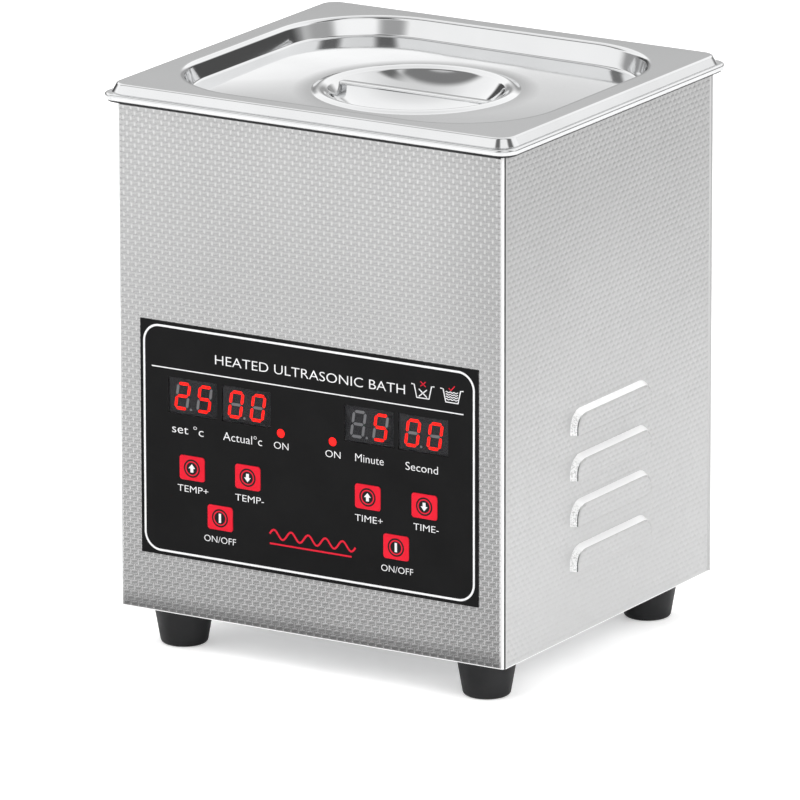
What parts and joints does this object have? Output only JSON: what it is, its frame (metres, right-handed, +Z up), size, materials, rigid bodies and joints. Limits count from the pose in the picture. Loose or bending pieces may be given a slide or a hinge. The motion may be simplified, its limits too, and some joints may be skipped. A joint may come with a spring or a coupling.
{
  "type": "ultrasonic cleaner",
  "caption": "Bench ultrasonic cleaner: embossed sheet housing on rubber feet, lift-off lid with a sunken handle bar, front panel with digital displays and red push keys, louvred sides.",
  "frame": {"origin": "on the bench, under the middle of the housing", "axes": "+Z up, +X to the right of the control panel, -Y towards the user"},
  "size_m": [0.1754, 0.1624, 0.2156],
  "materials": {
    "embossed_steel": "pressed with a fine brick pattern, satin",
    "plain_steel": "satin sheet",
    "polished_steel": "polished",
    "zinc_steel": "zinc plated",
    "black_rubber": "moulded, matte",
    "panel_black": "satin printed film",
    "window_smoke": "smoked window",
    "led_red": "lit red",
    "key_red": "satin red",
    "board_green": "solder mask",
    "brass": "plated brass",
    "copper": "tinned copper",
    "aluminium": "turned",
    "black_plastic": "moulded",
    "ferrite": "ferrite",
    "piezo_ceramic": "silvered ceramic",
    "tail_steel": "turned steel",
    "heater_mat": "silicone rubber",
    "capacitor_sleeve": "sleeve",
    "wire_sleeve": "flexible sleeve",
    "cable_grey": "ribbon cable"
  },
  "bodies": {
    "cleaner": {"housing_shell": "embossed_steel", "rear_cover": "embossed_steel", "base_plate": "plain_steel", "feet": "black_rubber", "foot_screws": "zinc_steel", "base_screws": "zinc_steel", "rear_cover_screws": "zinc_steel", "tank": "polished_steel", "rim_gasket": "black_rubber", "panel_overlay": "panel_black", "display_windows": "window_smoke", "display_modules": "black_plastic", "display_segments": "led_red", "indicator_leds": "led_red", "control_board": "board_green", "control_standoffs": "brass", "control_screws": "zinc_steel", "key_switches": "black_plastic", "driver_board": "board_green", "driver_standoffs": "brass", "driver_screws": "zinc_steel", "transformer_core": "ferrite", "transformer_winding": "copper", "driver_heatsink": "aluminium", "power_transistors": "black_plastic", "filter_capacitors": "capacitor_sleeve", "transducer_horn": "aluminium", "piezo_rings": "piezo_ceramic", "transducer_electrodes": "copper", "transducer_tail_mass": "tail_steel", "transducer_bolt": "zinc_steel", "heater_pads": "heater_mat", "thermal_cutout": "black_plastic", "temperature_sensor": "brass", "power_inlet": "black_plastic", "inlet_pins": "zinc_steel", "inlet_screws": "zinc_steel", "power_switch_body": "black_plastic", "fan_frame": "black_plastic", "fan_screws": "zinc_steel", "mains_wires": "wire_sleeve", "inlet_wires": "wire_sleeve", "transducer_wires": "wire_sleeve", "display_cable": "cable_grey"},
    "lid": {"lid": "polished_steel", "lid_handle_bar": "polished_steel"},
    "switch_rocker": {"power_switch_rocker": "black_plastic"},
    "fan_rotor": {"fan_rotor": "black_plastic"},
    "key_temp_up": {"key_temp_up": "key_red", "plunger_temp_up": "black_plastic"},
    "key_temp_down": {"key_temp_down": "key_red", "plunger_temp_down": "black_plastic"},
    "key_heat_on_off": {"key_heat_on_off": "key_red", "plunger_heat_on_off": "black_plastic"},
    "key_time_up": {"key_time_up": "key_red", "plunger_time_up": "black_plastic"},
    "key_time_down": {"key_time_down": "key_red", "plunger_time_down": "black_plastic"},
    "key_timer_on_off": {"key_timer_on_off": "key_red", "plunger_timer_on_off": "black_plastic"}
  },
  "joints": [
    {"name": "lid_lift", "type": "slide", "parent": "cleaner", "child": "lid", "axis": [0, 0, 1], "range_m": [0, 0.12]},
    {"name": "press_temp_up", "type": "slide", "parent": "cleaner", "child": "key_temp_up", "axis": [0, 1, 0], "range_m": [0, 0.0005], "stiffness_N_per_m": 600, "springref_m": -0.0005},
    {"name": "press_temp_down", "type": "slide", "parent": "cleaner", "child": "key_temp_down", "axis": [0, 1, 0], "range_m": [0, 0.0005], "stiffness_N_per_m": 600, "springref_m": -0.0005},
    {"name": "press_heat_on_off", "type": "slide", "parent": "cleaner", "child": "key_heat_on_off", "axis": [0, 1, 0], "range_m": [0, 0.0005], "stiffness_N_per_m": 600, "springref_m": -0.0005},
    {"name": "press_time_up", "type": "slide", "parent": "cleaner", "child": "key_time_up", "axis": [0, 1, 0], "range_m": [0, 0.0005], "stiffness_N_per_m": 600, "springref_m": -0.0005},
    {"name": "press_time_down", "type": "slide", "parent": "cleaner", "child": "key_time_down", "axis": [0, 1, 0], "range_m": [0, 0.0005], "stiffness_N_per_m": 600, "springref_m": -0.0005},
    {"name": "press_timer_on_off", "type": "slide", "parent": "cleaner", "child": "key_timer_on_off", "axis": [0, 1, 0], "range_m": [0, 0.0005], "stiffness_N_per_m": 600, "springref_m": -0.0005},
    {"name": "power_switch_tilt", "type": "hinge", "parent": "cleaner", "child": "switch_rocker", "pos_m": [0.042, 0.077, 0.082], "axis": [1, 0, 0], "range_deg": [-16, 0]},
    {"name": "fan_spin", "type": "hinge", "parent": "cleaner", "child": "fan_rotor", "pos_m": [-0.042, 0.07, 0.062], "axis": [0, 1, 0], "continuous": true}
  ]
}
